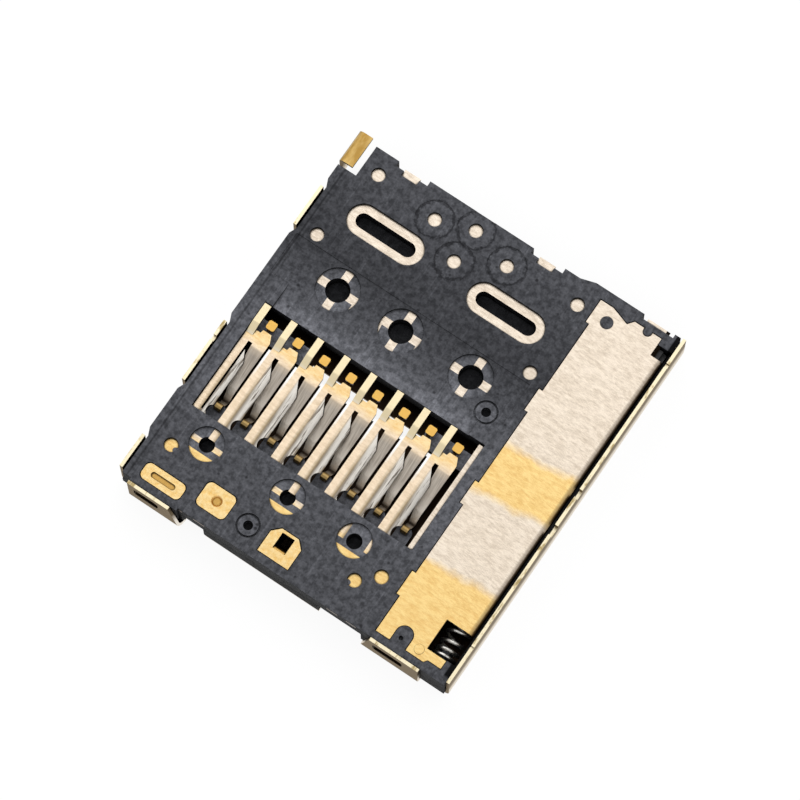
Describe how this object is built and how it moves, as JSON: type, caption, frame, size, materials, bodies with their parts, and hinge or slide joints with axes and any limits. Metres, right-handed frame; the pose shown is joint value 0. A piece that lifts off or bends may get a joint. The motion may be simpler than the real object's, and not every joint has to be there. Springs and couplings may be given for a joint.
{
  "type": "microsd card connector",
  "caption": "Push-push memory card connector with a dark moulding in a folded steel cover, spring contacts in a window, a gold base plate and a sprung card slider.",
  "frame": {"origin": "centre of the bounding box's bottom, on the cover's outer face", "axes": "+Z towards the solder side, +Y towards the card entry, +X towards the slider"},
  "size_m": [0.0136, 0.0148, 0.0019],
  "materials": {
    "moulding": "dark grey moulded resin, fine matt grain",
    "shell_steel": "bright rolled stainless sheet with a warm tone",
    "plate_gold": "copper alloy with thin gold over nickel",
    "lead_frame": "stamped copper alloy, nickel with gold bands",
    "pad_gold": "gold-plated solder pads",
    "slider_resin": "dark wear-resistant resin",
    "spring_wire": "drawn stainless wire"
  },
  "bodies": {
    "shell": {"housing": "moulding", "cover": "shell_steel", "base_plate": "plate_gold", "front_insert": "lead_frame", "rear_insert": "lead_frame", "contact_1": "lead_frame", "contact_2": "lead_frame", "contact_3": "lead_frame", "contact_4": "lead_frame", "contact_5": "lead_frame", "contact_6": "lead_frame", "contact_7": "lead_frame", "contact_8": "lead_frame", "ground_pad": "pad_gold", "switch_pad": "pad_gold", "switch_terminal": "pad_gold", "push_spring": "spring_wire"},
    "slider": {"card_slider": "slider_resin", "lock_leaf": "spring_wire"},
    "pin": {"cam_pin": "spring_wire"}
  },
  "joints": [
    {"name": "slider_travel", "type": "slide", "parent": "shell", "child": "slider", "axis": [0, -1, 0], "range_m": [0, 0.0025], "stiffness_N_per_m": 100, "deforming": ["push_spring"]},
    {"name": "cam_pin_swing", "type": "hinge", "parent": "shell", "child": "pin", "pos_m": [0.00573, 0.00702, 0.00029], "axis": [0, 0, 1], "range_deg": [0, 4.6]}
  ],
  "couplings": [
    {"joint": "cam_pin_swing", "follows": "slider_travel", "rad_per_m": 31.416}
  ]
}
